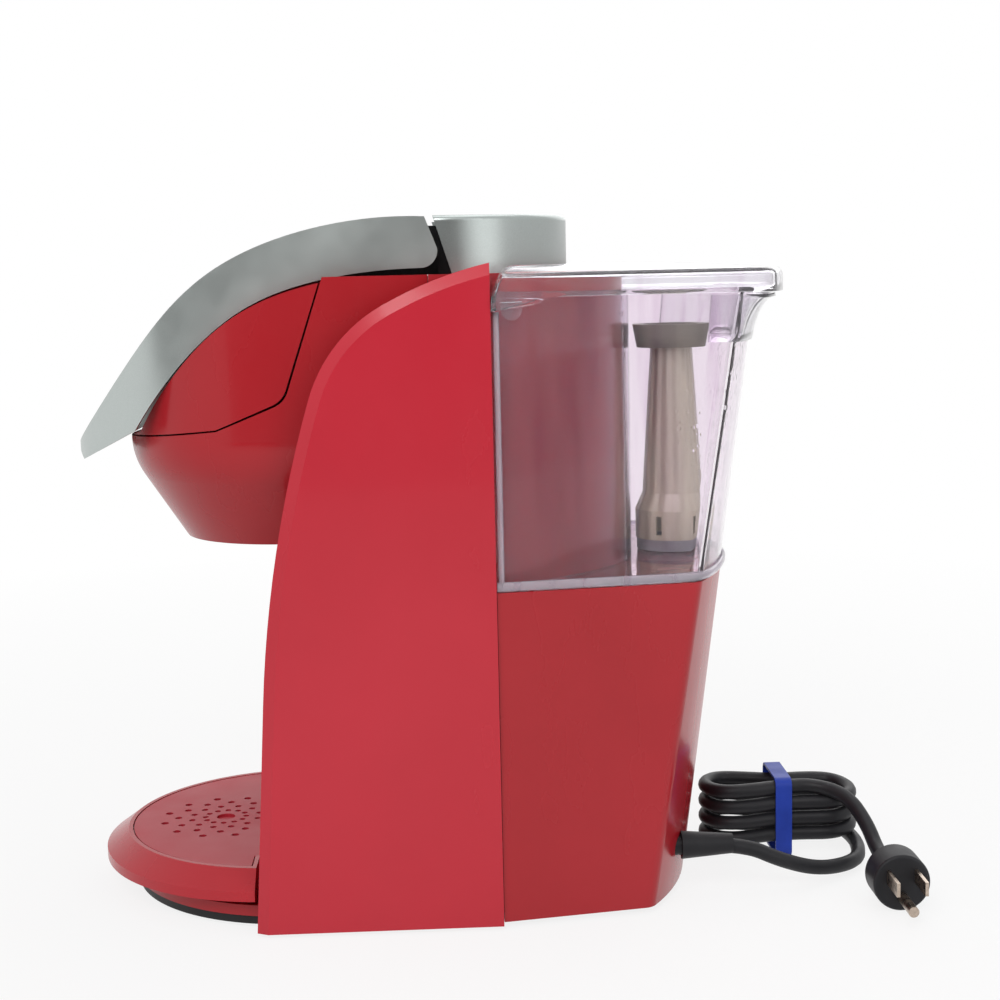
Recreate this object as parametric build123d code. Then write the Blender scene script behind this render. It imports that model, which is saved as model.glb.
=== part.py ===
from build123d import *
import math
import os

# A pod coffee maker that stands on four feet. X is the width, the front faces -Y, the floor is z = 0,
# and the origin is on the floor under the middle of the body.

# Clearances
seat_gap = 0.3
run_gap = 0.5
bore_gap = 0.06

# Side panels, seen from the side as (y, z)
half_width = 95.0
panel_depth = 6.0
panel_skin = 3.0
panel_rim = 3.5
panel_bevel_in = 5.0
panel_bevel_out = 2.5
panel_lift = 2.0
seam_y = 26.0
panel_toe = (-83.5, panel_lift)
panel_knee = (-77.0, 105.0)
panel_shoulder = (-52.5, 238.0)
panel_crown = (-20.0, 277.5)
panel_top_z = 294.5
toe_run = 20.0
panel_boss_radius = 4.0
panel_screw_radius = 1.5
panel_boss_places = ((-62.0, 30.0), (10.0, 30.0), (-45.0, 190.0), (10.0, 262.0))
panel_rib_heights = (75.0, 120.0, 155.0, 225.0)
panel_rib_thickness = 1.6

# Column, the closed body between the panels
core_half = half_width - panel_depth - seat_gap
core_inset = 5.0
core_wall = 3.0
core_radius = 84.0
core_centre_y = 8.0
round_front_y = 0.0
deck_z = 290.0
base_top_z = 6.0
bay_radius = 68.0
bay_centre_y = -110.0

# Brew head, the fixed bowl
head_radius = 76.5
head_centre_y = -66.0
head_floor_z = 170.0
head_floor_radius = 52.5
head_cheek_z = 200.0
head_cheek_radius = 71.5
head_brow_z = 219.0
head_wall = 3.0
bowl_rear_y = -66.0
spout_radius = 9.0

# The seam between bowl and lid jaw, seen from the side as (y, z)
seam_rear_top = (-45.5, 291.0)
seam_rear_low = (-64.0, 236.0)
seam_mid = (-95.0, 223.5)
seam_front = (-150.0, 217.5)
seam_corner = 11.0
seam_gap = 0.8

# Handle, seen from the side as (y, z)
handle_half = 60.0
handle_bar = 12.0
handle_centre_y = -107.0
handle_inner_centre_y = -88.0
handle_skin = 4.0
handle_top = ((-1.0, 315.5), (-55.0, 310.3), (-100.0, 290.5), (-134.0, 255.0), (-167.5, 214.0))
handle_low = ((-133.0, 223.5), (-109.0, 254.5), (-82.0, 276.5), (-45.0, 289.2), (-3.0, 293.0))
handle_tip_low = (-162.0, 208.5)
handle_heel_mid = (2.6, 295.6)
handle_heel = (4.4, 301.5)
pivot_y = -26.0
pivot_z = 304.0
pin_radius = 3.0
pin_inner_x = 31.0
pin_outer_x = 57.0

# Lid jaw
jaw_wall = 3.0
jaw_top_drop = 3.0
jaw_side_drop = 1.2
jaw_ear_in = 36.2
jaw_ear_out = 44.0
jaw_ear_radius = 8.0

# Pod holder and its needles
pod_y = -105.0
pod_top_z = 217.5
pod_floor_z = 188.0
pod_top_radius = 26.0
pod_floor_radius = 19.5
pod_wall = 1.8
pod_flange = 2.5
needle_radius = 2.0
needle_tip = 6.0

# Hinge wells in the deck
well_in = 35.7
well_out = 62.0
well_front_y = -60.0
well_rear_y = 4.6
well_floor_z = 266.0

# Control ring and panel on the deck
ring_radius = 58.0
ring_wall = 8.0
ring_top_z = 316.0
ring_edge_top_y = 2.6
ring_edge_low_y = 10.8
ring_round = 2.5
panel_gap = 0.4
console_top_z = 312.0
console_wall = 3.0
console_front_y = -38.0
button_proud = 1.6
button_travel = 1.5
button_flange = 1.5
button_flange_thickness = 2.0
cup_button_radius = 5.5
cup_button_spacing = 22.0
cup_button_y = 12.0
brew_button_radius = 8.0
brew_button_y = -15.0
power_button_radius = 4.0
power_button_y = 47.0
display_size = (42.0, 13.0)
display_y = 31.0
switch_board_thickness = 1.6

# Reservoir base and water tank, as plans at the floor and at the rim
rear_low_z = 3.0
rear_rim_z = 290.0
rear_side_half = 92.5
rear_low_corner = (81.0, 94.0)
rear_rim_corner = (80.0, 138.0)
rear_low_y = 118.0
rear_rim_y = 155.0
rear_corner_round = 7.0
rear_wall = 3.0
rear_front_y = seam_y + seat_gap
rear_base_top_z = 152.0
tank_wall = 2.4
tank_floor = 3.0
tank_lift_gap = 0.3
tank_top_z = 282.0
tank_flange = 2.0
tank_flange_thickness = 2.5

# Tank lid
lid_rim_z = 279.0
lid_top_z = 293.0
lid_skin = 2.4
lid_overhang = 5.0
lid_rear_overhang = 13.0

# Filter in the tank
filter_y = 116.0
filter_grip_radius = 18.5
filter_grip_low_z = 253.0
filter_grip_top_z = 264.0
filter_stem_top_radius = 10.0
filter_stem_low_radius = 14.5
filter_basket_radius = 18.0
filter_basket_low_z = 161.0
filter_basket_top_z = 183.0
filter_ring_low_z = 155.6

# Valve between tank and base
valve_stem_radius = 4.0
valve_socket_radius = 9.0
valve_drop = 8.0

# Foot plate, tray cradle and feet
foot_radius = 9.0
foot_sink = 1.5
base_low_z = 2.0
plate_bridge = 120.0
skirt_radius = 84.0
skirt_centre_y = -66.0
skirt_top_z = 11.0
skirt_wall = 3.0

# Drip tray and plate
tray_radius = 89.0
tray_centre_y = -75.0
tray_low_radius = 79.0
tray_low_z = 11.3
tray_edge_low_z = 15.0
tray_edge_top_z = 19.5
tray_top_z = 27.0
tray_rim_radius = 78.5
tray_wall = 2.5
plate_radius = 75.0
plate_centre_y = -76.0
plate_thickness = 2.5
plate_gap = 0.6
star_centre_y = -107.0
star_hole_radius = 1.5
star_arms = 12
star_first = 10.0
star_pitch = 6.6
star_rings = 4
star_centre_radius = 4.5
star_centre_depth = 1.2

# Cord and plug
cord_radius = 3.5
cord_exit = (58.0, 110.5, 24.0)
relief_length = 24.0
relief_big_radius = 6.5
relief_small_radius = 4.6
hank_x = -4.0
hank_y = 168.0
hank_half_width = 27.0
hank_half_length = 37.0
hank_waist = 0.55
hank_lift = 1.8
hank_step = 7.9
hank_start = 0.5
hank_turns = 3.75
hank_arcs = 8
tie_width = 8.0
tie_thickness = 1.2
plug_rear = (58.0, 206.0, 13.3)
plug_radius = 13.0
plug_neck_radius = 5.5
plug_neck_length = 16.0
plug_face_length = 16.0
blade_size = (17.0, 1.5, 6.3)
blade_offset = 6.35
ground_pin_radius = 2.4
ground_pin_length = 19.0

# Inside the column
heater_y = 40.0
heater_radius = 36.0
heater_low_z = 150.0
heater_top_z = 262.0
heater_round = 12.0
heater_wall = 1.5
heater_inlet_radius = 3.0
board_x = 62.0
vent_valve_place = (60.0, -28.0)
vent_valve_size = 22.0
water_pump = (-50.0, 20.0, 17.0, 44.0)
air_pump = (41.0, 22.0, 11.0, 32.0)


# Helpers

def side_face(inset=0.0):
    """Outline of a side panel in the YZ plane, moved inwards by inset."""
    toe = panel_toe
    if inset > 0:
        toe = (panel_toe[0] - toe_run * toe_slope(), panel_toe[1] - toe_run)
    toe_line = Line(toe, panel_knee)
    low_arc = TangentArc(panel_knee, panel_shoulder, tangent=toe_line % 1)
    mid_arc = TangentArc(panel_shoulder, panel_crown, tangent=low_arc % 1)
    top_corner = (seam_y, panel_top_z)
    top_arc = TangentArc(panel_crown, top_corner, tangent=mid_arc % 1)
    rest = Polyline(top_corner, (seam_y, toe[1]), toe)
    face = make_face(toe_line + low_arc + mid_arc + top_arc + rest)
    if inset > 0:
        face = offset(face, amount=-inset, kind=Kind.INTERSECTION)
    return face


def toe_slope():
    """Lean of the panel's straight front edge, in depth per height."""
    return (panel_knee[0] - panel_toe[0]) / (panel_knee[1] - panel_toe[1])


def across(face, half):
    """A YZ face swept over the width from -half to half."""
    return extrude(Plane.YZ * face, amount=half, both=True)


def box_between(low, high):
    """A box from its lowest to its highest corner."""
    size = [b - a for a, b in zip(low, high)]
    middle = [(a + b) / 2 for a, b in zip(low, high)]
    return Pos(*middle) * Box(*size)


def post(x, y, low_z, high_z, radius, top_radius=None):
    """A vertical cylinder, or a cone where the top radius differs."""
    height = high_z - low_z
    centre = Pos(x, y, (low_z + high_z) / 2)
    if top_radius is None or abs(top_radius - radius) < 0.001:
        return centre * Cylinder(radius, height)
    return centre * Cone(radius, top_radius, height)


def rod(y, z, low_x, high_x, radius):
    """A cylinder along X."""
    return Pos((low_x + high_x) / 2, y, z) * Rot(0, 90, 0) * Cylinder(radius, high_x - low_x)


def flat_disc(radius, centre_y):
    """A circle in the floor plane."""
    return Pos(0, centre_y) * Circle(radius)


def slab(sketch, low_z, high_z):
    """A floor-plane sketch raised between two heights."""
    return extrude(Pos(0, 0, low_z) * sketch, amount=high_z - low_z)


def both_sides(shape):
    """A shape and its mirror image."""
    return [shape, mirror(shape, about=Plane.YZ)]


# Side panels

def make_side_panel():
    """Right-hand panel: a bevelled cover with a rim, ribs and screw bosses behind it."""
    inner_x = half_width - panel_depth
    cover = extrude(Plane.YZ.offset(inner_x) * side_face(), amount=panel_depth)
    outer = cover.faces().sort_by(Axis.X)[-1]
    bevelled = [e for e in outer.edges() if e.center().Y < seam_y - 1 and e.center().Z > panel_lift + 1]
    cover = chamfer(bevelled, length=panel_bevel_in, length2=panel_bevel_out, reference=outer)
    pocket_depth = panel_depth - panel_skin
    pocket = extrude(Plane.YZ.offset(inner_x) * side_face(panel_rim), amount=pocket_depth)
    pocket &= box_between((0, -200, panel_lift + panel_rim), (200, 200, 400))
    for height in panel_rib_heights:
        low = (inner_x - 1, panel_toe[0] - 5, height)
        pocket -= box_between(low, (half_width, seam_y + 5, height + panel_rib_thickness))
    for y, z in panel_boss_places:
        pocket -= rod(y, z, inner_x - 1, half_width, panel_boss_radius)
    cover -= pocket
    for y, z in panel_boss_places:
        cover -= rod(y, z, inner_x - 1, half_width - panel_skin, panel_screw_radius)
    return cover


def make_panel_screws():
    """Screws that hold the panels: driven from inside the column into the bosses."""
    inner_x = half_width - panel_depth
    screws = []
    for y, z in panel_boss_places:
        head = rod(y, z, core_half - core_wall - 2.0, core_half - core_wall, 3.0)
        shank_end = inner_x + panel_depth - panel_skin - 0.5
        shank = rod(y, z, core_half - core_wall, shank_end, panel_screw_radius - bore_gap)
        screws += both_sides(head + shank)
    return Compound(children=screws)


# Column

def core_block(inset, wall):
    """Solid of the column: the part between the panels and the round rear."""
    middle = across(side_face(core_inset + inset), core_half - wall)
    rear = post(0, core_centre_y, base_top_z, deck_z - wall, core_radius - wall)
    return middle + (rear & box_between((-100, round_front_y + wall, 0), (100, 100, deck_z)))


def bay_space(grow=0.0):
    """The round recess behind the mug."""
    return post(0, bay_centre_y, base_top_z - 5, head_floor_z, bay_radius + grow)


def make_column_shell():
    """Hollow column with a round mug bay in front and screw holes for the panels."""
    clip = box_between((-100, -100, base_top_z), (100, 100, deck_z))
    shell = (core_block(0, 0) & clip) - bay_space()
    room_clip = box_between((-100, -100, base_top_z - 1), (100, 100, deck_z - core_wall))
    room = core_block(core_wall, core_wall) & room_clip
    shell -= room - bay_space(core_wall)
    for well in hinge_wells(0.0):
        shell -= well
    for y, z in panel_boss_places:
        for hole in both_sides(rod(y, z, core_half - 10, core_half + 1, panel_screw_radius)):
            shell -= hole
    return shell


def hinge_wells(grow):
    """The two slots in the deck that the handle arms and jaw ears swing in."""
    low = (well_in - grow, well_front_y, well_floor_z - grow)
    high = (well_out + grow, well_rear_y + grow, deck_z + 40)
    return both_sides(box_between(low, high))


# Brew head

def bowl_profile(shrink):
    """Radius and height of the bowl's outline, with its wall taken off."""
    floor_z = head_floor_z + shrink
    floor_line = Line((0, floor_z), (head_floor_radius - shrink, floor_z))
    draft = Line((head_floor_radius - shrink, floor_z), (head_cheek_radius - shrink, head_cheek_z))
    cheek = TangentArc(
        (head_cheek_radius - shrink, head_cheek_z),
        (head_radius - shrink, head_brow_z),
        tangent=draft % 1,
    )
    top_z = 330.0
    top = Polyline(
        (head_radius - shrink, head_brow_z), (head_radius - shrink, top_z), (0, top_z), (0, floor_z)
    )
    return make_face(floor_line + draft + cheek + top)


def head_block(shrink=0.0):
    """The head: a round front and straight sides that run back into the column."""
    half = bowl_profile(shrink)
    front = Pos(0, head_centre_y, 0) * revolve(Plane.XZ * half, axis=Axis.Z, revolution_arc=360)
    full = Plane.XZ * half + mirror(Plane.XZ * half, about=Plane.YZ)
    length = round_front_y - seat_gap - head_centre_y
    back = extrude(Pos(0, head_centre_y, 0) * full, amount=-length)
    return front + back


def jaw_region(rise, clear=0.0):
    """The side view of the space above the seam, as a YZ face. rise moves the seam up and forward."""
    rear = FilletPolyline(
        (seam_rear_top[0] - clear, 340.0),
        (seam_rear_top[0] - clear, seam_rear_top[1]),
        (seam_rear_low[0] - clear, seam_rear_low[1] + clear),
        (seam_mid[0], seam_mid[1] + rise),
        radius=seam_corner,
    )
    front = Polyline(
        (seam_mid[0], seam_mid[1] + rise),
        (seam_front[0], seam_front[1] + rise),
        (-2 * half_width, seam_front[1] + rise),
        (-2 * half_width, 340.0),
        (seam_rear_top[0] - clear, 340.0),
    )
    return make_face(rear + front)


def make_head_housing():
    """Fixed bowl under the jaw: open on top for the pod holder, solid where it meets the column."""
    rear_y = round_front_y - seat_gap
    top_clip = box_between((-100, -160, head_floor_z - 5), (100, rear_y, deck_z))
    shell = (head_block() & top_clip) - across(side_face(core_inset - seat_gap), core_half)
    shell -= across(jaw_region(0), 100)
    room_low = (-100, -160, head_floor_z + head_wall)
    room = head_block(head_wall) & box_between(room_low, (100, bowl_rear_y, deck_z + 1))
    shell -= room
    for well in hinge_wells(0.0):
        shell -= well
    shell -= post(0, pod_y, head_floor_z - 5, head_floor_z + 20, spout_radius + seat_gap)
    return shell


def make_pod_holder():
    """Tapered cup on a collar that stands on the bowl's floor, with an outlet spout below."""
    cup = post(0, pod_y, pod_floor_z, pod_top_z, pod_floor_radius, pod_top_radius)
    cup += post(0, pod_y, pod_top_z - 2, pod_top_z, pod_top_radius + pod_flange)
    inside = post(0, pod_y, pod_floor_z + pod_wall, pod_top_z + 0.01,
                  pod_floor_radius - pod_wall, pod_top_radius - pod_wall)
    cup -= inside
    collar = post(0, pod_y, head_floor_z + head_wall + 0.1, pod_floor_z, spout_radius + 1.4)
    cup += collar - post(0, pod_y, head_floor_z, pod_floor_z, spout_radius + 0.1)
    cup -= post(0, pod_y, pod_floor_z - 5, pod_floor_z + 5, needle_radius + bore_gap)
    return cup


def make_spout():
    """Outlet funnel that hangs from the cup and shows under the bowl."""
    tube = post(0, pod_y, head_floor_z - 3, pod_floor_z - 0.1, spout_radius)
    funnel = post(0, pod_y, head_floor_z, pod_floor_z - 2, 3.0, spout_radius - 2)
    return tube - funnel - post(0, pod_y, head_floor_z - 4, pod_floor_z, needle_radius + bore_gap)


def make_exit_needle():
    """Hollow needle that pierces the pod from below."""
    stem = post(0, pod_y, pod_floor_z - 6, pod_floor_z + 8, needle_radius)
    stem += post(0, pod_y, pod_floor_z + 8, pod_floor_z + 8 + needle_tip, needle_radius, 0.4)
    return stem - post(0, pod_y, pod_floor_z - 7, pod_floor_z + 7, 0.8)


# Handle

def handle_side(drop=0.0):
    """Side view of the handle: a curved bar that ends in a lip. drop lowers its top curve."""
    lowered = [(y, z - drop) for y, z in handle_top]
    top = Spline(lowered)
    tip = Line(lowered[-1], handle_tip_low)
    lip = Line(handle_tip_low, handle_low[0])
    low = Spline(handle_low)
    heel = ThreePointArc(handle_low[-1], handle_heel_mid, handle_heel)
    end = Line(handle_heel, lowered[0])
    return make_face(top + tip + lip + low + heel + end)


def under_curve(points, drop, floor_z=150.0, front_lip=False):
    """Everything below a curve, as a YZ face. front_lip adds what lies under the handle's lip."""
    lowered = [(y, z - drop) for y, z in points]
    curve = Spline(lowered)
    first, last = lowered[0], lowered[-1]
    front = (handle_tip_low[0], handle_tip_low[1] - drop) if front_lip else first
    rest = [last, (last[0], floor_z), (front[0], floor_z), front]
    if front_lip:
        rest.append(first)
    return make_face(curve + Polyline(*rest))


def handle_plan(half, centre_y):
    """Plan of a U: two straight arms and a round front."""
    return flat_disc(half, centre_y) + Pos(0, centre_y + 100) * Rectangle(2 * half, 200)


def make_handle():
    """Silver handle: a U of channel section whose lip is the finger grip."""
    outer = slab(handle_plan(handle_half, handle_centre_y), 150, 340)
    inner_half = handle_half - handle_bar
    inner = slab(handle_plan(inner_half, handle_inner_centre_y), 150, 340)
    bar = across(handle_side(), 80) & (outer - inner)
    room = slab(handle_plan(handle_half - handle_skin, handle_centre_y), 150, 340)
    room -= slab(handle_plan(inner_half + handle_skin, handle_inner_centre_y), 150, 340)
    room = room & across(under_curve(handle_top, handle_skin), 80)
    bar -= room & box_between((-80, -200, 150), (80, pivot_y - 14, 340))
    for hole in both_sides(rod(pivot_y, pivot_z, 40, pin_outer_x + 0.3, pin_radius + bore_gap)):
        bar -= hole
    return bar


def make_hinge_pins():
    """Two pins on one axis for the handle arms and the jaw's ears."""
    pins = [rod(pivot_y, pivot_z, pin_inner_x, pin_outer_x, pin_radius)]
    return Compound(children=both_sides(pins[0]))


# Lid jaw

def jaw_block(wall):
    """The jaw's outer form, or its inside where wall is above zero."""
    below_bar = across(under_curve(handle_low, jaw_side_drop + wall, 180, True), 100) & head_block(wall)
    half = handle_half - handle_bar - run_gap - wall
    middle = slab(handle_plan(half, handle_inner_centre_y), 180, 330) & head_block(wall)
    middle = middle & across(under_curve(handle_top, jaw_top_drop + wall), 100)
    return (below_bar + middle) & across(jaw_region(seam_gap - wall, seam_gap + wall), 100)


def make_lid_jaw():
    """Moulded lid over the pod, open below, with two ears that reach back to the pivot."""
    jaw = jaw_block(0) & across(jaw_region(seam_gap, seam_gap), 100)
    jaw -= jaw_block(jaw_wall)
    ear_face = Pos(pivot_y, pivot_z) * Circle(jaw_ear_radius)
    reach_y = seam_rear_top[0] - seam_gap - 1.0
    ear_face += make_face(Polyline(
        (pivot_y, pivot_z + jaw_ear_radius), (reach_y, pivot_z + 1), (reach_y, pivot_z - 12),
        (pivot_y, pivot_z - jaw_ear_radius), (pivot_y, pivot_z + jaw_ear_radius)))
    ear = extrude(Plane.YZ.offset(jaw_ear_in) * ear_face, amount=jaw_ear_out - jaw_ear_in)
    for side in both_sides(ear):
        jaw += side
    return jaw - rod(pivot_y, pivot_z, -50, 50, pin_radius + bore_gap)


def make_needle_carrier():
    """Plate that holds the upper needle, on a post up to the jaw's roof."""
    seam_z = pod_top_z + 3.5
    plate = post(0, pod_y, seam_z, seam_z + 3, pod_top_radius - 1)
    stalk = post(0, pod_y, seam_z + 3, 330, 11.0)
    stalk = stalk & jaw_block(jaw_wall)
    return plate + stalk - post(0, pod_y, seam_z - 1, seam_z + 12, needle_radius + bore_gap)


def make_inlet_needle():
    """Hollow needle that lets hot water into the pod."""
    seam_z = pod_top_z + 3.5
    stem = post(0, pod_y, seam_z - 6, seam_z + 11, needle_radius)
    return stem + post(0, pod_y, seam_z - 6 - needle_tip, seam_z - 6, 0.4, needle_radius)


def make_pod_seal():
    """Soft ring round the upper needle that presses on the pod's lid."""
    seam_z = pod_top_z + 3.5
    return post(0, pod_y, seam_z - 2.5, seam_z - 0.1, 8.0) - post(0, pod_y, 0, 300, needle_radius + 0.3)


# Ring, console and buttons on the deck

def make_control_ring():
    """Silver ring, cut by a slanting plane where the handle's heel ends."""
    centre = Pos(0, core_centre_y, (deck_z + ring_top_z) / 2)
    ring = centre * Cylinder(ring_radius, ring_top_z - deck_z)
    rims = ring.edges().filter_by(GeomType.CIRCLE).sort_by(Axis.Z)[-1:]
    ring = fillet(rims, ring_round)
    ring -= post(0, core_centre_y, deck_z - 1, ring_top_z + 1, ring_radius - ring_wall)
    slope = (ring_edge_low_y - ring_edge_top_y) / (ring_top_z - deck_z)
    high_z = ring_top_z + 5
    cut = make_face(Polyline(
        (ring_edge_top_y - 5 * slope, high_z), (ring_edge_low_y, deck_z),
        (ring_edge_low_y, deck_z - 1), (-90, deck_z - 1), (-90, high_z),
        (ring_edge_top_y - 5 * slope, high_z)))
    return ring - across(cut, 80)


def button_list():
    """Name, place, size of every button on the console."""
    rows = [("brew_button", 0.0, brew_button_y, brew_button_radius)]
    rows += [(f"cup_button_{word}", n * cup_button_spacing, cup_button_y, cup_button_radius)
             for n, word in ((-1, "small"), (0, "medium"), (1, "large"))]
    return rows + [("power_button", 0.0, power_button_y, power_button_radius)]


def make_control_panel():
    """Console inside the ring: a top plate with button holes and a window recess, open below."""
    inner = ring_radius - ring_wall - panel_gap
    plan = flat_disc(inner, core_centre_y)
    low_y = console_front_y
    plan += Pos(0, low_y / 2) * Rectangle(2 * (well_in - run_gap), -low_y)
    body = slab(plan, deck_z, console_top_z)
    for side in (-1, 1):
        wing = box_between((well_in - run_gap, -80, deck_z - 1), (80, well_rear_y, ring_top_z))
        body -= wing if side > 0 else mirror(wing, about=Plane.YZ)
    room = slab(offset(plan, -console_wall), deck_z - 1, console_top_z - console_wall)
    for side in both_sides(box_between((well_in - 5, -80, deck_z - 2), (80, well_rear_y + 3, ring_top_z))):
        room -= side
    body -= room
    for name, x, y, radius in button_list():
        body -= post(x, y, console_top_z - 10, console_top_z + 1, radius + seat_gap)
    width, depth = display_size
    window = (-width / 2 - 0.1, display_y - depth / 2 - 0.1, console_top_z - 1.5)
    body -= box_between(window, (width / 2 + 0.1, display_y + depth / 2 + 0.1, console_top_z + 1))
    for hole in both_sides(rod(pivot_y, pivot_z, pin_inner_x, 50, pin_radius)):
        body -= hole
    return body


def make_display_window():
    """Flat window set flush in the console."""
    width, depth = display_size
    low = (-width / 2, display_y - depth / 2, console_top_z - 1.5)
    return box_between(low, (width / 2, display_y + depth / 2, console_top_z + 0.2))


def make_button(x, y, radius):
    """Round cap with a flange that keeps it under the console's plate."""
    flange_top = console_top_z - console_wall - seat_gap
    flange_low = flange_top - button_flange_thickness
    top_z = console_top_z + button_proud
    cap = post(x, y, flange_low, top_z, radius)
    cap = fillet(cap.edges().sort_by(Axis.Z)[-1:], 0.8)
    return cap + post(x, y, flange_low, flange_top, radius + button_flange)


def make_switch_board():
    """Circuit board under the buttons with one switch for each, on legs that stand on the deck."""
    low_z = deck_z + 6
    flange_low = console_top_z - console_wall - seat_gap - button_flange_thickness
    board = post(0, core_centre_y + 14, low_z, low_z + switch_board_thickness, 31.0)
    board += box_between((-25, brew_button_y - 10, low_z), (25, 10, low_z + switch_board_thickness))
    for name, x, y, radius in button_list():
        board += post(x, y, low_z, flange_low - button_travel - 0.2, 2.5)
    for x, y in ((-20, brew_button_y), (20, brew_button_y), (-20, 38), (20, 38)):
        board += post(x, y, deck_z, low_z, 2.0)
    return board


# Reservoir base, tank and lid

def rear_plan(z, grow=0.0, rear_grow=0.0):
    """Plan of the reservoir at a height: straight sides, round corners and a bulged rear."""
    share = (z - rear_low_z) / (rear_rim_z - rear_low_z)
    corner = [a + share * (b - a) for a, b in zip(rear_low_corner, rear_rim_corner)]
    rear = rear_low_y + share * (rear_rim_y - rear_low_y) + grow + rear_grow
    corner_x, corner_y = corner[0] + grow, corner[1] + grow + rear_grow
    side = rear_side_half + grow
    front = rear_front_y
    outline = Polyline((-corner_x, corner_y), (-side, front), (side, front), (corner_x, corner_y))
    bulge = ThreePointArc((corner_x, corner_y), (0, rear), (-corner_x, corner_y))
    face = make_face(outline + bulge)
    corners = face.vertices().group_by(Axis.Y)[-1]
    return fillet(corners, rear_corner_round)


def rear_loft(low_z, high_z, grow=0.0, rear_grow=0.0, extra=0.0):
    """The reservoir's form between two heights, grown at the top by extra."""
    low = Pos(0, 0, low_z) * rear_plan(low_z, grow, rear_grow)
    high = Pos(0, 0, high_z) * rear_plan(high_z, grow + extra, rear_grow)
    return loft([low, high], ruled=True)


def column_hole(grow, low_z=-5.0, high_z=340.0):
    """The round column, grown, to cut what wraps round it."""
    return post(0, core_centre_y, low_z, high_z, core_radius + grow)


def make_reservoir_base():
    """Hollow pedestal under the tank, open below, with a port for the valve and a cord hole."""
    solid = rear_loft(rear_low_z, rear_base_top_z) - column_hole(seat_gap)
    room = rear_loft(rear_low_z - 1, rear_base_top_z - rear_wall, -rear_wall)
    room -= box_between((-100, 0, -5), (100, rear_front_y + rear_wall, 340))
    solid -= room - column_hole(seat_gap + rear_wall)
    solid -= post(0, filter_y, rear_base_top_z - 10, rear_base_top_z + 1, valve_socket_radius)
    solid -= slab(rear_plan(rear_low_z, -rear_wall + 0.15), 0, base_top_z)
    x, y, z = cord_exit
    return solid - Pos(x, y, z) * Rot(90, 0, 0) * Cylinder(relief_small_radius + 0.1, 30)


def make_valve_socket():
    """Cup in the base that the tank's valve plugs into."""
    low_z = rear_base_top_z - 16
    cup = post(0, filter_y, low_z, rear_base_top_z - 0.2, valve_socket_radius - 0.1)
    cup += post(0, filter_y, rear_base_top_z - rear_wall - 2, rear_base_top_z - rear_wall - 0.05,
                valve_socket_radius + 3)
    return cup - post(0, filter_y, low_z + 2, rear_base_top_z + 1, valve_stem_radius + 1.5)


def make_water_tank():
    """Clear crescent tank: one wall all round, a floor, and a flange under the lid."""
    low_z = rear_base_top_z + tank_lift_gap
    solid = rear_loft(low_z, tank_top_z, -seat_gap)
    flange_low = tank_top_z - tank_flange_thickness
    flange = rear_loft(flange_low, tank_top_z, tank_flange, tank_flange)
    flange -= box_between((-200, -50, 0), (200, rear_front_y + 8, 400))
    solid = solid + flange - column_hole(seat_gap + 0.4)
    room = rear_loft(low_z + tank_floor, tank_top_z + 5, -tank_wall)
    room -= box_between((-100, 0, 0), (100, rear_front_y + tank_wall, 400))
    solid -= room - column_hole(seat_gap + 0.4 + tank_wall)
    return solid - post(0, filter_y, low_z - 1, low_z + tank_floor + 1, valve_stem_radius + 0.2)


def make_tank_valve():
    """Valve stem through the tank's floor, with a collar inside."""
    low_z = rear_base_top_z + tank_lift_gap
    stem = post(0, filter_y, low_z - valve_drop, low_z + tank_floor, valve_stem_radius)
    return stem + post(0, filter_y, low_z + tank_floor, filter_ring_low_z + 2.6, valve_stem_radius + 3)


def make_tank_lid():
    """Clear lid: a crowned plate with a skirt that hooks over the tank's rim."""
    flat_z = lid_top_z
    plate = rear_loft(tank_top_z + 0.3, flat_z, lid_overhang - 3, lid_rear_overhang - 2, -1.5)
    skirt = rear_loft(lid_rim_z, tank_top_z + 0.3, tank_flange + 1.0, tank_flange + 2.5)
    skirt -= rear_loft(lid_rim_z - 1, tank_top_z + 0.3, tank_flange + 0.3, tank_flange + 0.3)
    skirt -= box_between((-200, -50, 0), (200, rear_front_y + 8.5, 400))
    room = rear_loft(tank_top_z, flat_z - lid_skin, lid_overhang - 3 - lid_skin, lid_rear_overhang - 4)
    room -= box_between((-100, 0, 0), (100, rear_front_y + lid_skin, 400))
    hole = column_hole(seat_gap + 0.4)
    lid = plate - (room - column_hole(seat_gap + 0.4 + lid_skin)) - hole
    return lid + (skirt - hole)


def make_filter_grip():
    """Grip ring at the top of the filter holder."""
    cap = post(0, filter_y, filter_grip_low_z, filter_grip_top_z, filter_grip_radius - 2, filter_grip_radius)
    return cap - post(0, filter_y, filter_grip_low_z + 3, filter_grip_top_z + 1, filter_grip_radius - 5)


def make_filter_stem():
    """Long tapered tube, ribbed lengthwise, from the basket up to the grip."""
    low_z = filter_basket_top_z
    top_z = filter_grip_low_z
    tube = post(0, filter_y, low_z, top_z, filter_stem_low_radius, filter_stem_top_radius)
    tube -= post(0, filter_y, low_z - 0.01, top_z + 0.01,
                 filter_stem_low_radius - 1.6, filter_stem_top_radius - 1.6)
    core = post(0, filter_y, low_z, top_z, filter_stem_low_radius - 0.8, filter_stem_top_radius - 0.8)
    width = 3 * filter_stem_low_radius
    for n in range(3):
        web = Pos(0, filter_y, (low_z + top_z) / 2) * Rot(0, 0, 60 * n) * Box(width, 1.4, top_z - low_z)
        tube += web & core
    return tube


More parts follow.
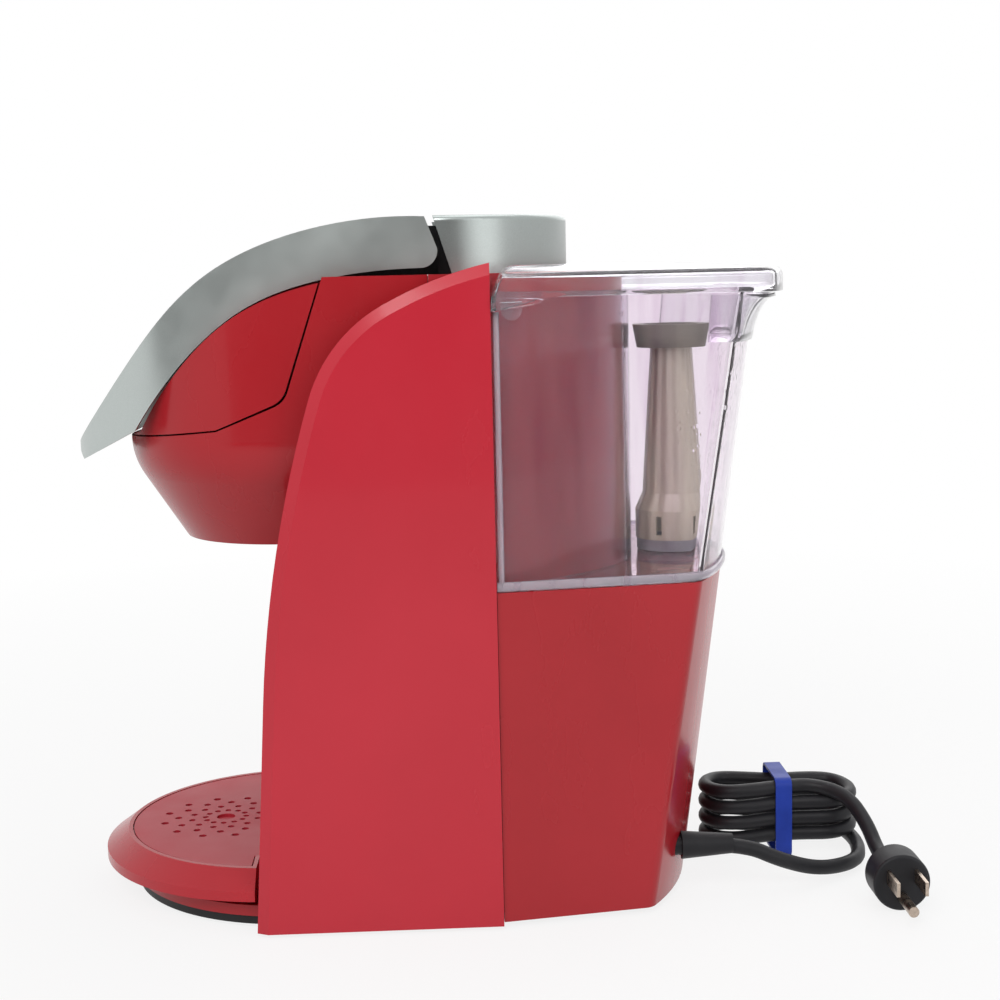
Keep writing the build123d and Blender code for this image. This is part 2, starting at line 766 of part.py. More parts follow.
def make_filter_basket():
    """Slotted basket that holds the filter over the valve."""
    low_z = filter_basket_low_z
    top_z = filter_basket_top_z
    basket = post(0, filter_y, low_z, top_z - 8, filter_basket_radius)
    basket += post(0, filter_y, top_z - 8, top_z, filter_basket_radius, filter_stem_low_radius)
    basket -= post(0, filter_y, low_z - 1, top_z - 8, filter_basket_radius - 1.6)
    basket -= post(0, filter_y, top_z - 9, top_z + 1, filter_stem_low_radius - 3)
    for n in range(6):
        place = Pos(0, filter_y, low_z + 7) * Rot(0, 0, 60 * n + 30)
        basket -= place * Pos(filter_basket_radius, 0, 0) * Box(6, 3, 9)
    return basket


def make_filter_ring():
    """Grey foot ring that seats the basket on the tank's floor round the valve."""
    ring = post(0, filter_y, filter_ring_low_z, filter_basket_low_z, filter_basket_radius - 0.5)
    return ring - post(0, filter_y, 100, 200, filter_basket_radius - 6)


# Foot plate, cradle, tray

def make_base_plate():
    """Black plate under everything."""
    plan = flat_disc(skirt_radius - 1, skirt_centre_y) & (Pos(0, -150) * Rectangle(300, 200))
    plan += Pos(0, (seam_y - 78) / 2) * Rectangle(2 * core_half, seam_y + 78)
    plan += rear_plan(rear_low_z, -rear_wall - seat_gap)
    plan += Pos(0, seam_y) * Rectangle(plate_bridge, plate_bridge / 2)
    plate = slab(plan, base_low_z, base_top_z - 0.1)
    for x, y in foot_places():
        plate -= post(x, y, base_low_z - 1, base_low_z + foot_sink, foot_radius + 0.1)
    return plate


def foot_places():
    """Centres of the four feet."""
    return [(side * 62.0, y) for side in (-1, 1) for y in (-95.0, 82.0)]


def make_feet():
    """Four rubber feet, pressed into shallow seats."""
    feet = []
    for x, y in foot_places():
        feet.append(post(x, y, 0, base_low_z + foot_sink, foot_radius - 1, foot_radius))
    return Compound(children=feet)


def make_tray_cradle():
    """Red skirt in front that the drip tray slides in on."""
    plan = flat_disc(skirt_radius, skirt_centre_y) & (Pos(0, -180) * Rectangle(300, 200))
    plan -= flat_disc(bay_radius + 30, bay_centre_y + 200)
    rear_cut = Pos(0, panel_toe[1] - 79.0 + 100) * Rectangle(300, 200)
    skirt = slab(plan - rear_cut, base_top_z, skirt_top_z)
    return skirt - slab(offset(plan - rear_cut, -skirt_wall), base_top_z + 2, skirt_top_z + 1)


def tray_plan(radius, inset=0.0):
    """Plan of the tray: a round front, and a round tongue that fills the mug bay."""
    front = flat_disc(radius, tray_centre_y) & (Pos(0, -84.5 - 100 - inset) * Rectangle(300, 200))
    tongue = flat_disc(bay_radius - run_gap - inset, bay_centre_y)
    return front + (tongue & flat_disc(radius, tray_centre_y))


def make_drip_tray():
    """Tray with a bevelled lip, undercut below, hollow for the drips."""
    low = loft([Pos(0, 0, tray_low_z) * flat_disc(tray_low_radius, tray_centre_y),
                Pos(0, 0, tray_edge_low_z) * flat_disc(tray_radius, tray_centre_y)], ruled=True)
    middle = post(0, tray_centre_y, tray_edge_low_z, tray_edge_top_z, tray_radius)
    bevel = post(0, tray_centre_y, tray_edge_top_z, tray_top_z, tray_radius, tray_rim_radius)
    form = (low + middle + bevel) & slab(tray_plan(tray_radius), 0, 40)
    seat_z = tray_top_z - plate_thickness
    form -= slab(plate_plan(-plate_gap), seat_z, tray_top_z + 1)
    return form - slab(plate_plan(4.0), tray_low_z + tray_wall, tray_top_z + 1)


def plate_plan(inset):
    """Plan of the drip plate, moved inwards by inset."""
    front = flat_disc(plate_radius - inset, plate_centre_y)
    return front & tray_plan(tray_radius, tray_wall + inset)


def make_drip_plate():
    """Lift-off plate with a star of drain holes and a dish in its centre."""
    seat_z = tray_top_z - plate_thickness
    plate = slab(plate_plan(0.0), seat_z, tray_top_z - 0.2)
    holes = []
    for arm in range(star_arms):
        for ring in range(star_rings):
            turn = 360 / star_arms * (arm + 0.5 * (ring % 2))
            place = Rot(0, 0, turn) * Pos(star_first + star_pitch * ring, 0)
            holes.append(Pos(0, star_centre_y) * place * Circle(star_hole_radius + 0.12 * ring))
    plate -= slab(Sketch() + holes, seat_z - 1, tray_top_z + 1)
    dish = post(0, star_centre_y, tray_top_z - 0.2 - star_centre_depth, tray_top_z + 1, star_centre_radius)
    return plate - dish


# Inside the column

def make_heater_tank():
    """Round hollow hot-water tank with domed ends and an inlet below, on its stand."""
    shape = post(0, heater_y, heater_low_z, heater_top_z, heater_radius)
    tank = fillet(shape.edges().filter_by(GeomType.CIRCLE), heater_round)
    low_z = heater_low_z + heater_wall
    room = post(0, heater_y, low_z, heater_top_z - heater_wall, heater_radius - heater_wall)
    room = fillet(room.edges().filter_by(GeomType.CIRCLE), heater_round - heater_wall)
    return tank - room - post(0, heater_y, heater_low_z - 1, low_z + 1, heater_inlet_radius)


def make_heater_stand():
    """Plate on three legs that carries the hot-water tank."""
    stand = post(0, heater_y, heater_low_z - 3.1, heater_low_z - 0.1, heater_radius - 4)
    for n in range(3):
        turn = math.radians(120 * n + 90)
        x = (heater_radius - 10) * math.cos(turn)
        y = heater_y + (heater_radius - 10) * math.sin(turn)
        stand += post(x, y, base_top_z, heater_low_z - 3.1, 3.5)
    return stand


def make_thermostat():
    """Cut-out on top of the hot-water tank."""
    return post(0, heater_y, heater_top_z + 0.1, heater_top_z + 3, 9.0) + post(
        0, heater_y, heater_top_z + 3, heater_top_z + 7, 5.0)


def make_pump(x, y, radius, length):
    """Motor lying on the floor plate, with a pump head and a saddle."""
    z = base_top_z + radius + 3
    body = Pos(x, y, z) * Rot(90, 0, 0) * Cylinder(radius, length)
    head = Pos(x, y + length / 2 + 5, z) * Rot(90, 0, 0) * Cylinder(radius * 0.8, 10)
    saddle = box_between((x - radius * 0.7, y - length * 0.3, base_top_z),
                         (x + radius * 0.7, y + length * 0.3, z - radius * 0.5))
    return body + head + saddle


def make_solenoid_valve():
    """Vent valve on the floor plate beside the air pump."""
    x, y = vent_valve_place
    half = vent_valve_size / 2
    top_z = base_top_z + vent_valve_size
    block = box_between((x - half, y - half, base_top_z), (x + half, y + half, top_z))
    return block + post(x, y, top_z, top_z + 12, half / 2)


def make_control_board():
    """Upright circuit board that stands on the floor plate, with its transformer."""
    x = board_x
    board = box_between((x, -10, base_top_z), (x + 1.6, 50, base_top_z + 110))
    return board + box_between((x - 22, 5, base_top_z + 40), (x, 35, base_top_z + 66))


# Cord

def make_cord_relief():
    """Tapered strain relief with a flange outside the wall."""
    x, y, z = cord_exit
    cone = Pos(x, y + relief_length / 2, z) * Rot(-90, 0, 0) * Cone(
        relief_big_radius, relief_small_radius, relief_length)
    neck = Pos(x, y - 5, z) * Rot(90, 0, 0) * Cylinder(relief_small_radius, 10)
    return cone + neck - Pos(x, y + relief_length / 2, z) * Rot(90, 0, 0) * Cylinder(cord_radius + 0.05, 60)


def cord_corner_radii(points):
    """The largest even arcs: 0.45 of the shorter run over the tangent of half the turn."""
    radii = []
    for a, b, c in zip(points, points[1:], points[2:]):
        before, after = Vector(*b) - Vector(*a), Vector(*c) - Vector(*b)
        half_turn = math.radians(before.get_angle(after)) / 2
        radii.append(0.45 * min(before.length, after.length) / math.tan(half_turn))
    return radii


def cord_tube(name, points):
    """A tube along straight runs and tangent arcs. Prints its radii, length and volume."""
    radii = cord_corner_radii(points)
    path = FilletPolyline(*points, radius=radii)
    start = Plane(points[0], z_dir=path % 0)
    tube = sweep(start * Circle(cord_radius), path=path)
    expected = math.pi * cord_radius**2 * path.length
    print(name, "radii", [round(r, 1) for r in radii], "length", round(path.length, 1),
          "volume share", round(tube.volume / expected, 4))
    return tube


def hank_point(turn):
    """A point on the hank's centreline and its direction. One unit of turn is one loop."""
    part = turn % 1.0
    angle = 2 * math.pi * part
    x = hank_x + hank_half_width * math.sin(angle) * (1 - hank_waist * math.sin(angle) ** 4)
    y = hank_y - hank_half_length * math.cos(angle)
    z = cord_radius + hank_lift + hank_step * (turn - hank_start)
    return Vector(x, y, z)


def hank_tangent(turn):
    """Direction of the hank's centreline, by a small central difference."""
    small = 0.0005
    return (hank_point(turn + small) - hank_point(turn - small)).normalized()


def biarc(p0, t0, p1, t1):
    """Two arcs that join two points with the given directions."""
    v = p1 - p0
    t = t0 + t1
    a = 2 * (1 - t0.dot(t1))
    b = 2 * v.dot(t)
    d = (-b + math.sqrt(b * b + 4 * a * v.dot(v))) / (2 * a)
    joint = (p0 + p1 + (t0 - t1) * d) * 0.5
    return [TangentArc(p0, joint, tangent=t0), TangentArc(p1, joint, tangent=t1 * -1)]


def make_cord_hank():
    """Four loops of cord, one on another, drawn in at the waist, as one tube."""
    steps = int(hank_turns * hank_arcs)
    edges = []
    for n in range(steps):
        a, b = n / hank_arcs + hank_start, (n + 1) / hank_arcs + hank_start
        edges += biarc(hank_point(a), hank_tangent(a), hank_point(b), hank_tangent(b))
    path = Wire(edges)
    start = Plane(hank_point(hank_start), z_dir=hank_tangent(hank_start))
    tube = sweep(start * Circle(cord_radius), path=path)
    along = [hank_point(hank_start + hank_turns * n / 300) for n in range(301)]
    apart = [(p - q).length for n, p in enumerate(along) for q in along[n + 40:]]
    gap = min(apart) - 2 * cord_radius
    print("hank length", round(path.length, 1), "least gap", round(gap, 2), "volume share",
          round(tube.volume / (math.pi * cord_radius**2 * path.length), 4))
    return tube


def make_cord_tail():
    """From the relief down to the floor and into the lowest loop of the hank."""
    x, y, z = cord_exit
    floor_z = cord_radius + hank_lift
    end = hank_point(hank_start)
    far_y = end.Y
    points = [
        (x, y, z),
        (x, y + 28, z),
        (x - 1, y + 48, z - 10),
        (x - 8, y + 68, floor_z + 1.5),
        (x - 22, far_y - 6, floor_z),
        (end.X + 18, far_y, floor_z),
        (end.X, far_y, floor_z),
    ]
    return cord_tube("cord tail", points)


def make_cord_end():
    """From the top loop of the hank down to the plug."""
    start = hank_point(hank_start + hank_turns)
    top_z = start.Z
    x, y, z = plug_rear
    points = [
        (start.X, start.Y, top_z),
        (start.X, start.Y + 16, top_z + 0.3),
        (start.X + 11, start.Y + 30, top_z - 2),
        (start.X + 26, y - 2, top_z - 12),
        (x - 12, y, z + 0.2),
        (x, y, z),
    ]
    return cord_tube("cord end", points)


def make_cord_tie():
    """Band round the waist of the hank."""
    waist = hank_half_width * (1 - hank_waist) + cord_radius + seat_gap
    high = hank_point(hank_start + hank_turns).Z + cord_radius + seat_gap
    low = tie_thickness
    width = 2 * (waist + tie_thickness)
    middle = Plane.XZ.offset(-hank_y - tie_width / 2)
    centre_z = (high + low) / 2
    outer = Pos(hank_x, centre_z) * RectangleRounded(width, high - low + 2 * tie_thickness, 4.2)
    inner = Pos(hank_x, centre_z) * RectangleRounded(width - 2 * tie_thickness, high - low, 3.0)
    return extrude(middle * (outer - inner), amount=tie_width)


def make_plug_body():
    """Round three-pin plug with a tapered neck, lying on the floor with its pins along +X."""
    x, y, z = plug_rear
    turn = Rot(0, 90, 0)
    neck = Pos(x + plug_neck_length / 2, y, z) * turn * Cone(plug_neck_radius, plug_radius, plug_neck_length)
    face_x = x + plug_neck_length
    face = Pos(face_x + plug_face_length / 2, y, z) * turn * Cylinder(plug_radius, plug_face_length)
    body = neck + face
    rims = body.edges().filter_by(GeomType.CIRCLE).group_by(Axis.X)[-1]
    body = fillet(rims, 1.5)
    for y2, z2, size in blade_places():
        body -= Pos(face_x + plug_face_length, y2, z2) * Box(10, size[1] + 0.1, size[2] + 0.1)
    ground = Pos(face_x + plug_face_length, y, z - blade_offset) * turn
    return body - ground * Cylinder(ground_pin_radius + 0.05, 10)


def blade_places():
    """Middle and section of the two flat blades."""
    x, y, z = plug_rear
    return [(y + side * blade_offset, z + blade_offset / 2, blade_size) for side in (-1, 1)]


def make_plug_prongs():
    """Two flat blades and a round ground pin, seated 5 mm deep in the plug."""
    x, y, z = plug_rear
    low_x = x + plug_neck_length + plug_face_length - 5
    prongs = []
    for y2, z2, size in blade_places():
        length = size[0] + 5
        prongs.append(Pos(low_x + length / 2, y2, z2) * Box(length, size[1], size[2]))
    pin = Pos(low_x + (ground_pin_length + 5) / 2, y, z - blade_offset) * Rot(0, 90, 0)
    prongs.append(pin * Cylinder(ground_pin_radius, ground_pin_length + 5))
    return Compound(children=prongs)


# Write every piece

def all_parts():
    """Every named piece of the coffee maker."""
    panel = make_side_panel()
    parts = {
        "side_panel_right": panel,
        "side_panel_left": mirror(panel, about=Plane.YZ),
        "panel_screws": make_panel_screws(),
        "column_shell": make_column_shell(),
        "head_housing": make_head_housing(),
        "pod_holder": make_pod_holder(),
        "coffee_spout": make_spout(),
        "exit_needle": make_exit_needle(),
        "handle_frame": make_handle(),
        "hinge_pins": make_hinge_pins(),
        "lid_jaw": make_lid_jaw(),
        "needle_carrier": make_needle_carrier(),
        "inlet_needle": make_inlet_needle(),
        "pod_seal": make_pod_seal(),
        "control_ring": make_control_ring(),
        "control_panel": make_control_panel(),
        "display_window": make_display_window(),
        "switch_board": make_switch_board(),
        "reservoir_base": make_reservoir_base(),
        "valve_socket": make_valve_socket(),
        "water_tank": make_water_tank(),
        "tank_valve": make_tank_valve(),
        "tank_lid": make_tank_lid(),
        "filter_grip": make_filter_grip(),
        "filter_stem": make_filter_stem(),
        "filter_basket": make_filter_basket(),
        "filter_ring": make_filter_ring(),
        "base_plate": make_base_plate(),
        "rubber_feet": make_feet(),
        "tray_cradle": make_tray_cradle(),
        "drip_tray": make_drip_tray(),
        "drip_plate": make_drip_plate(),
        "heater_tank": make_heater_tank(),
        "heater_stand": make_heater_stand(),
        "thermostat": make_thermostat(),
        "water_pump": make_pump(*water_pump),
        "air_pump": make_pump(*air_pump),
        "solenoid_valve": make_solenoid_valve(),
        "control_board": make_control_board(),
        "cord_relief": make_cord_relief(),
        "cord_tail": make_cord_tail(),
        "cord_hank": make_cord_hank(),
        "cord_end": make_cord_end(),
        "cord_tie": make_cord_tie(),
        "plug_body": make_plug_body(),
        "plug_prongs": make_plug_prongs(),
    }
    for name, x, y, radius in button_list():
        parts[name] = make_button(x, y, radius)
    return parts


if __name__ == "__main__":
    os.makedirs("parts", exist_ok=True)
    for node, shape in all_parts().items():
        export_step(shape, f"parts/{node}.step")
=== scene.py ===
import math

import bpy
from mathutils import Matrix, Vector


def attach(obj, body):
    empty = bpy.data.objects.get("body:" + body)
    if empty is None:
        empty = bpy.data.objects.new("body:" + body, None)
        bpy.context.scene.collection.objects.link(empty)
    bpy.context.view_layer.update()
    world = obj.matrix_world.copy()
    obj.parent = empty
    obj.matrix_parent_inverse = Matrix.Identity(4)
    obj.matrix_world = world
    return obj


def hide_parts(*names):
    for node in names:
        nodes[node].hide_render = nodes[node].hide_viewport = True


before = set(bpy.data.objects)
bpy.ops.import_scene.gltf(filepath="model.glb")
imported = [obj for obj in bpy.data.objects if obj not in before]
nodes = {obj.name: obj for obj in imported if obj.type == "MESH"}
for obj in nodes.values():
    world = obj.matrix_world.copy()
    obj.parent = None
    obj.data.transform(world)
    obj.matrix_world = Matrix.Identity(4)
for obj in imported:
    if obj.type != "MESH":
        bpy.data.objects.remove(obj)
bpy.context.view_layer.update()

scene = bpy.context.scene

# Camera, from a pinhole fit to the photograph
FOCAL_PX, IMAGE_PX, SENSOR = 1730.0, 1000.0, 36.0
CAMERA_AT = (0.832, 0.0, 0.291)
HEADING, PITCH, ROLL = map(math.radians, (87.8, 7.55, 1.3))


def add_camera():
    """Camera on the right-hand side, a little above the lid and tilted down."""
    ahead = Vector((-math.sin(HEADING), math.cos(HEADING), 0))
    side = Vector((math.cos(HEADING), math.sin(HEADING), 0))
    top = Vector((0, 0, 1))
    forward = ahead * math.cos(PITCH) - top * math.sin(PITCH)
    above = ahead * math.sin(PITCH) + top * math.cos(PITCH)
    x_axis = side * math.cos(ROLL) - above * math.sin(ROLL)
    y_axis = above * math.cos(ROLL) + side * math.sin(ROLL)
    data = bpy.data.cameras.new("camera")
    data.sensor_width = SENSOR
    data.lens = FOCAL_PX / IMAGE_PX * SENSOR
    data.clip_start = 0.01
    camera = bpy.data.objects.new("camera", data)
    turn = Matrix((x_axis, y_axis, -forward)).transposed()
    camera.matrix_world = Matrix.Translation(CAMERA_AT) @ turn.to_4x4()
    scene.collection.objects.link(camera)
    scene.camera = camera


MM = 0.001

# Cord: one spline in millimetres, from the strain relief, round the hank, to the plug
CORD_RADIUS = 3.5 * MM
TAIL = [(58, 110.5, 24), (58, 138.5, 24), (57, 158.5, 14),
        (50, 178.5, 6.8), (36, 199, 5.3), (14, 205, 5.3)]
END = [(8.15, 184, 35.23), (19.15, 198, 32.93), (34.15, 204, 22.93),
       (46, 206, 13.5), (58, 206, 13.3)]
HANK_START, HANK_TURNS, POINTS_A_TURN = 0.5, 3.75, 14
HANK_X, HANK_HALF_WIDTH, HANK_PINCH = -4, 27, 0.55
HANK_Y, HANK_HALF_LENGTH = 168, 37
HANK_LOW_Z, HANK_CLIMB_A_TURN = 5.3, 7.9


def hank_point(t):
    """Centre line of the hank after t turns, in millimetres."""
    angle = 2 * math.pi * t
    pinch = 1 - HANK_PINCH * math.sin(angle) ** 4
    x = HANK_X + HANK_HALF_WIDTH * math.sin(angle) * pinch
    y = HANK_Y - HANK_HALF_LENGTH * math.cos(angle)
    return x, y, HANK_LOW_Z + HANK_CLIMB_A_TURN * (t - HANK_START)


def add_cord():
    """The whole mains cord as one smooth tube."""
    steps = round(HANK_TURNS * POINTS_A_TURN)
    hank = [hank_point(HANK_START + HANK_TURNS * n / steps) for n in range(steps + 1)]
    points = TAIL + hank + END
    data = bpy.data.curves.new("mains_cord", "CURVE")
    data.dimensions = "3D"
    data.bevel_depth = 1.0  # so that the radius of a point is the radius of the tube
    data.bevel_resolution = 5
    data.resolution_u = 8
    data.use_fill_caps = True
    spline = data.splines.new("NURBS")
    spline.points.add(len(points) - 1)
    for place, point in zip(spline.points, points):
        place.co = (point[0] * MM, point[1] * MM, point[2] * MM, 1)
        place.radius = CORD_RADIUS
    spline.order_u = 3
    spline.use_endpoint_u = True
    cord = bpy.data.objects.new("mains_cord", data)
    scene.collection.objects.link(cord)
    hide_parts("cord_tail", "cord_hank", "cord_end")
    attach(cord, "housing")


# Sockets of a Mix node that mixes colours
MIX_FACTOR, MIX_A, MIX_B, MIX_RESULT = 0, 6, 7, 2
COAT_ROUGHNESS = 0.06
DULL_FROM, DULL_TO = 0.35, 0.70


class Surface:
    """A node material built up by chained steps. Noise scales are per metre; shine is its specular level."""

    def __init__(self, name, rough, metal=0.0, coat=0.0, ior=1.5, shine=0.5):
        self.material = bpy.data.materials.new(name)
        self.material.use_nodes = True
        self.tree = self.material.node_tree
        self.shader = self.tree.nodes["Principled BSDF"]
        self.shader.inputs["Roughness"].default_value = rough
        self.shader.inputs["Metallic"].default_value = metal
        self.shader.inputs["Coat Weight"].default_value = coat
        self.shader.inputs["Coat Roughness"].default_value = COAT_ROUGHNESS
        self.shader.inputs["IOR"].default_value = ior
        self.shader.inputs["Specular IOR Level"].default_value = shine
        self.rough = rough
        self.place = self.node("ShaderNodeTexCoord").outputs["Object"]
        self.normal = None

    def node(self, kind, **settings):
        """A new node with its settings."""
        made = self.tree.nodes.new(kind)
        for key, value in settings.items():
            setattr(made, key, value)
        return made

    def feed(self, made, **values):
        """Links sockets, or sets numbers, by input name."""
        for key, value in values.items():
            socket = made.inputs[key.replace("_", " ")]
            if isinstance(value, bpy.types.NodeSocket):
                self.tree.links.new(value, socket)
            else:
                socket.default_value = value
        return made

    def math(self, operation, a, b=0.0):
        """One operation on two sockets or numbers."""
        made = self.node("ShaderNodeMath", operation=operation)
        for socket, value in zip(made.inputs, (a, b)):
            if isinstance(value, bpy.types.NodeSocket):
                self.tree.links.new(value, socket)
            else:
                socket.default_value = value
        return made.outputs[0]

    def axis(self, name, centre=0.0):
        """One coordinate in metres, counted from a centre."""
        split = self.feed(self.node("ShaderNodeSeparateXYZ"), Vector=self.place)
        return self.math("SUBTRACT", split.outputs[name], centre)

    def noise(self, scale, detail=3.0, stretch=(1, 1, 1)):
        """Noise that is drawn out along an axis where stretch is under one."""
        mapped = self.feed(self.node("ShaderNodeMapping"), Vector=self.place, Scale=stretch)
        made = self.feed(
            self.node("ShaderNodeTexNoise"), Vector=mapped.outputs[0], Scale=scale, Detail=detail)
        return made.outputs["Fac"]

    def spread(self, value, low, high, to_low=0.0, to_high=1.0):
        """A value between low and high, mapped on another range and clamped there."""
        made = self.feed(
            self.node("ShaderNodeMapRange"), Value=value,
            From_Min=low, From_Max=high, To_Min=to_low, To_Max=to_high)
        return made.outputs[0]

    def colours(self, first, second, factor):
        """Base colour between two tones, by a factor."""
        mix = self.node("ShaderNodeMix", data_type="RGBA")
        self.tree.links.new(factor, mix.inputs[MIX_FACTOR])
        mix.inputs[MIX_A].default_value = (*first, 1)
        mix.inputs[MIX_B].default_value = (*second, 1)
        self.tree.links.new(mix.outputs[MIX_RESULT], self.shader.inputs["Base Color"])
        return self

    def dull(self, factor, more):
        """Roughness that rises by up to more where the factor is high."""
        level = self.spread(factor, DULL_FROM, DULL_TO, self.rough, self.rough + more)
        self.tree.links.new(level, self.shader.inputs["Roughness"])
        return self

    def bump(self, height, depth, strength=1.0):
        """Relief of a depth in metres, on top of any relief so far."""
        made = self.feed(self.node("ShaderNodeBump"), Height=height, Distance=depth, Strength=strength)
        if self.normal is not None:
            self.tree.links.new(self.normal, made.inputs["Normal"])
        self.normal = made.outputs[0]
        self.tree.links.new(self.normal, self.shader.inputs["Normal"])
        return self

    def put(self, *names):
        """Gives the material to CAD nodes or pieces."""
        for name in names:
            piece = bpy.data.objects[name]
            piece.data.materials.clear()
            piece.data.materials.append(self.material)
        return self


def red(name, light, dark, rough, coat, grain):
    """Moulded red plastic: broad clouds between a lit and a shaded red as painted light and shade, rub
    marks, a faint swell and a fine grain.
    """
    made = Surface(name, rough, coat=coat, shine=0.3)
    # Painted light and shade: the lighter and the darker red are spread in broad clouds over the part.
    made.colours(dark, light, made.spread(made.noise(9, 4), 0.3, 0.7))
    made.dull(made.noise(38, 6, (1, 1, 0.4)), 0.08)
    made.bump(made.noise(340, 1), 0.00003, 0.25)
    return made.bump(made.noise(2600, 1), 0.00002, grain)


def plain(name, tone, rough, grain_scale, grain, metal=0.0, coat=0.0, vary=0.25):
    """Plastic, rubber or metal of one tone, with a moulded grain and uneven wear."""
    made = Surface(name, rough, metal, coat, shine=0.25)
    darker = tuple(c * (1 - vary) for c in tone)
    made.colours(darker, tone, made.spread(made.noise(60, 5), 0.35, 0.65))
    made.dull(made.noise(90, 5), 0.12)
    return made.bump(made.noise(grain_scale, 3), 0.00004, grain)


def silver(name, low, high):
    """Satin silver paint with fine flake, slightly rubbed."""
    made = Surface(name, 0.30, metal=0.85)
    made.colours(low, high, made.spread(made.noise(4200, 1), 0.3, 0.7))
    made.dull(made.noise(30, 5), 0.10)
    return made.bump(made.noise(3600, 1), 0.000012, 0.5)


# Lower than a real plastic's index, so that the thin walls mirror less of the white surroundings
CLEAR_IOR = 1.24
FLOW_TINT = (0.86, 0.78, 0.86)


def clear(name, tint, drops, through=0.96):
    """Clear moulding with flow lines and fine scratches, and drying drops where asked."""
    made = Surface(name, 0.02, ior=CLEAR_IOR)
    made.shader.inputs["Transmission Weight"].default_value = through
    streaks = made.spread(made.noise(75, 4, (1, 1, 0.10)), 0.52, 0.72)
    made.colours(tint, tuple(c * f for c, f in zip(tint, FLOW_TINT)), streaks)
    made.dull(made.noise(45, 6, (1, 1, 0.3)), 0.05)
    made.bump(made.noise(26, 3, (1, 1, 0.5)), 0.0006, 0.3)
    if drops:
        cells = made.feed(
            made.node("ShaderNodeTexVoronoi"), Vector=made.place, Scale=260.0, Randomness=1.0)
        patch = made.spread(made.noise(22, 3, (1, 1, 0.35)), 0.60, 0.68)
        drop = made.spread(cells.outputs["Distance"], 0.12, 0.30, 1, 0)
        made.bump(made.math("MULTIPLY", drop, patch), 0.0004, 0.6)
    return made


def ribbed(name, tone, centre_y, ribs, through):
    """Translucent moulding with ribs round a vertical axis."""
    made = Surface(name, 0.22, coat=0.2, ior=1.45)
    made.shader.inputs["Transmission Weight"].default_value = through
    turn = made.math("ARCTAN2", made.axis("Y", centre_y), made.axis("X"))
    wave = made.math("SINE", made.math("MULTIPLY", turn, float(ribs)))
    stain = made.spread(made.noise(40, 4, (1, 1, 0.3)), 0.3, 0.7)
    made.colours(tuple(c * 0.78 for c in tone), tone, stain)
    made.bump(made.spread(wave, -1, 1), 0.0012, 0.6)
    return made.bump(made.noise(700, 2), 0.00005, 0.3)


def brushed(name, tone, rough, stretch):
    """Metal with fine lines drawn out along one axis."""
    made = Surface(name, rough, metal=1.0)
    lines = made.noise(900, 3, stretch)
    made.colours(tuple(c * 0.75 for c in tone), tone, made.spread(lines, 0.3, 0.7))
    made.dull(made.noise(300, 4), 0.15)
    return made.bump(lines, 0.00002, 0.6)


def window():
    """Dark window of the clock, with the faint bars of an unlit display behind it."""
    made = Surface("clock_window", 0.08, coat=0.6)
    bars = made.math("SINE", made.math("MULTIPLY", made.axis("X"), 900.0))
    made.colours((0.006, 0.010, 0.012), (0.013, 0.020, 0.022), made.spread(bars, 0.2, 0.6))
    return made.dull(made.noise(200, 4), 0.06)


# Clear pieces of the tank that the frame has only as plain forms, or not at all, in millimetres.
# The tank follows the outline of the reservoir, given here at its foot with its gain up to the top.
OUTLINE_LOW_Z, OUTLINE_HEIGHT = 3, 287
CORNER_X, CORNER_X_GAIN = 81, -1
CORNER_Y, CORNER_Y_GAIN = 94, 44
REAR_Y, REAR_Y_GAIN = 118, 37
SEAM_Y, WALL_SIDE = 26.3, 92.5
RIM_STEP_Y = 46.6
SIDE_YS = (26.4, 26.8, 27.6, 29, 31, 33.5, 36, 39, 43, RIM_STEP_Y, 48.3, 50, 60, 80, 100, 118, 130)
SIDE_END_GAP = 2
CORNER_CUT, CORNER_STEPS, BULGE_STEPS = 9.0, 8, 10

LID_GROW, LID_REAR_GROW, LID_WALL = 4.5, 6.5, 1.9
LID_EDGE_Z, LID_CROWN, LID_ROUND, LID_RIM_Z = 290.0, 3.4, 3.5, 279.5
LID_INNER_LIP = 4
ROUND_STEPS, CROWN_STEPS = 4, 10
RIM_SLOPE, RIM_STEP_RISE, RIM_STEP_SLOPE = 0.12, 2.5, 0.9
NOSE_Y, NOSE_LOW_Z, NOSE_RISE, NOSE_RUN = 37.0, 274.0, 19.5, 10.8
NO_LIMIT_Z = 400.0
HOLE_RADIUS, HOLE_Y = 85.0, 8.0

FLARE_LOW_Z, FLARE_RISE, FLARE_REACH, FLARE_WALL = 258.0, 20.4, 9.5, 1.5
FLARE_INSET, FLARE_END_SINK, FLARE_END_STEPS, FLARE_STEPS = -0.1, 2.4, 4, 8

# Foot rim of the tank: heights, and how far the rim stands out there
FOOT_RIM = ((152.4, 0.1), (153.0, 0.7), (154.0, 0.9), (155.4, 0.9), (156.2, 0.6), (156.8, 0.1))
FOOT_WALL = 0.8
EDGE_LOW_Z, EDGE_HEIGHT, EDGE_STEPS = 153.5, 120, 12
EDGE_X, EDGE_Y, EDGE_Y_STEP, EDGE_ACROSS = 92.2, 27.0, 0.45, 6
EDGE_OUT, EDGE_SWELL, EDGE_WALL = 0.1, 0.9, 0.6

TAB_Y, TAB_Z, TAB_RADIUS, TAB_TOP_Z = 35, 274.5, 4.6, 278
TAB_INNER_X, TAB_OUTER_X = 92.6, 94.6
# Black strip behind the head's rear edge: painted shade in the gap there
STRIP_FRONT_Y, STRIP_REAR_Y, STRIP_LOW_Z, STRIP_TOP_Z, STRIP_HALF = -0.27, -0.03, 262, 289.4, 75
SOFT_EDGE_SHARE, SOFT_EDGE_LIMIT = 0.12, 4


